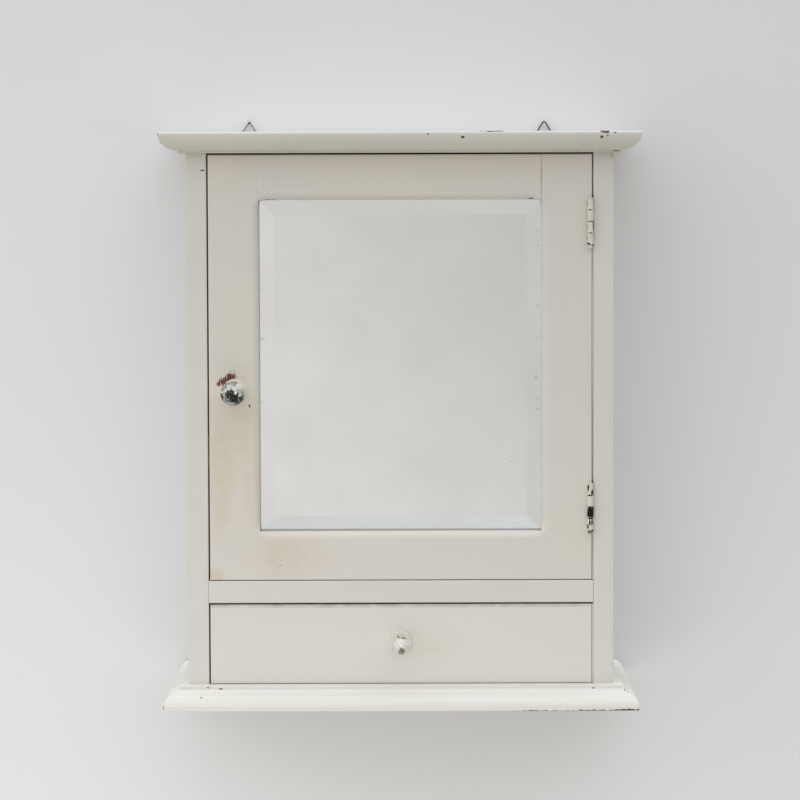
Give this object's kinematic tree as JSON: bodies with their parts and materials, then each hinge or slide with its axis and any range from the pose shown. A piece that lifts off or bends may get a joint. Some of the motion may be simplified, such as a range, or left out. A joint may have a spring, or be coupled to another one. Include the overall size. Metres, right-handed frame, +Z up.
{
  "type": "medicine cabinet with mirror",
  "caption": "Painted wooden wall cabinet with a mirrored inset door, shelves behind it, a drawer below and moulded top and base boards.",
  "frame": {"origin": "centre of the flat underside of the base board", "axes": "+X to the right seen from the front, -Y out of the front, +Z up"},
  "size_m": [0.477, 0.2024, 0.5888],
  "materials": {
    "cream_paint_on_wood": "old brushed cream enamel over pine",
    "bare_pine": "aged bare pine",
    "plywood": "bare thin plywood",
    "mirror_silver": "old silvered glass, bevelled",
    "painted_hinge_steel": "cream enamel brushed over steel, worn to black",
    "tarnished_nickel": "tarnished nickel plate",
    "worn_dark_steel": "worn dark steel, partly painted",
    "dark_steel_wire": "darkened steel wire and strap",
    "steel_fasteners": "dull steel",
    "brass": "dull brass"
  },
  "bodies": {
    "case": {"back_nails": "steel_fasteners", "back_panel": "plywood", "base_board": "cream_paint_on_wood", "base_screws": "steel_fasteners", "cleat_lower_left": "bare_pine", "cleat_lower_right": "bare_pine", "cleat_nails": "steel_fasteners", "cleat_upper_left": "bare_pine", "cleat_upper_right": "bare_pine", "divider": "cream_paint_on_wood", "door_stop": "bare_pine", "drawer_stop_left": "bare_pine", "drawer_stop_right": "bare_pine", "hanger_screws": "steel_fasteners", "hanger_strap_left": "dark_steel_wire", "hanger_strap_right": "dark_steel_wire", "hinge_case_screws": "steel_fasteners", "hinge_lower_case_leaf": "painted_hinge_steel", "hinge_lower_pin": "painted_hinge_steel", "hinge_upper_case_leaf": "painted_hinge_steel", "hinge_upper_pin": "painted_hinge_steel", "shelf_lower": "bare_pine", "shelf_upper": "bare_pine", "side_left": "cream_paint_on_wood", "side_right": "cream_paint_on_wood", "strike_plate": "brass", "strike_screws": "brass", "top_board": "cream_paint_on_wood", "top_nails": "steel_fasteners"},
    "door": {"door_stile_left": "cream_paint_on_wood", "door_stile_right": "cream_paint_on_wood", "door_rail_top": "cream_paint_on_wood", "door_rail_bottom": "cream_paint_on_wood", "mirror_glass": "mirror_silver", "mirror_backing": "plywood", "mirror_bead_top": "bare_pine", "mirror_bead_bottom": "bare_pine", "mirror_bead_left": "bare_pine", "mirror_bead_right": "bare_pine", "bead_pins": "steel_fasteners", "hinge_upper_door_leaf": "painted_hinge_steel", "hinge_lower_door_leaf": "painted_hinge_steel", "hinge_door_screws": "steel_fasteners", "knob_rose": "painted_hinge_steel", "door_knob": "tarnished_nickel", "knob_bolt": "steel_fasteners", "catch_barrel": "brass", "catch_spring": "steel_fasteners"},
    "drawer": {"drawer_front": "cream_paint_on_wood", "drawer_side_left": "bare_pine", "drawer_side_right": "bare_pine", "drawer_back": "bare_pine", "drawer_bottom": "plywood", "drawer_nails": "steel_fasteners", "pull_rose": "painted_hinge_steel", "drawer_pull": "worn_dark_steel", "pull_bolt": "steel_fasteners"},
    "catch_ball": {"catch_ball": "brass"},
    "ring_left": {"hanger_ring_left": "dark_steel_wire"},
    "ring_right": {"hanger_ring_right": "dark_steel_wire"}
  },
  "joints": [
    {"name": "door_swing", "type": "hinge", "parent": "case", "child": "door", "pos_m": [0.1892, -0.0713, 0.34], "axis": [0, 0, 1], "range_deg": [0, 170]},
    {"name": "drawer_slide", "type": "slide", "parent": "case", "child": "drawer", "axis": [0, -1, 0], "range_m": [0, 0.12]},
    {"name": "ring_left_swing", "type": "hinge", "parent": "case", "child": "ring_left", "pos_m": [-0.1615, 0.09418, 0.5725], "axis": [1, 0, 0], "range_deg": [-170, 0]},
    {"name": "ring_right_swing", "type": "hinge", "parent": "case", "child": "ring_right", "pos_m": [0.1525, 0.09418, 0.5725], "axis": [1, 0, 0], "range_deg": [-170, 0]},
    {"name": "catch_ball_travel", "type": "slide", "parent": "door", "child": "catch_ball", "axis": [1, 0, 0], "range_m": [0, 0.0007], "stiffness_N_per_m": 800, "springref_m": -0.001, "deforming": ["catch_spring"]}
  ]
}
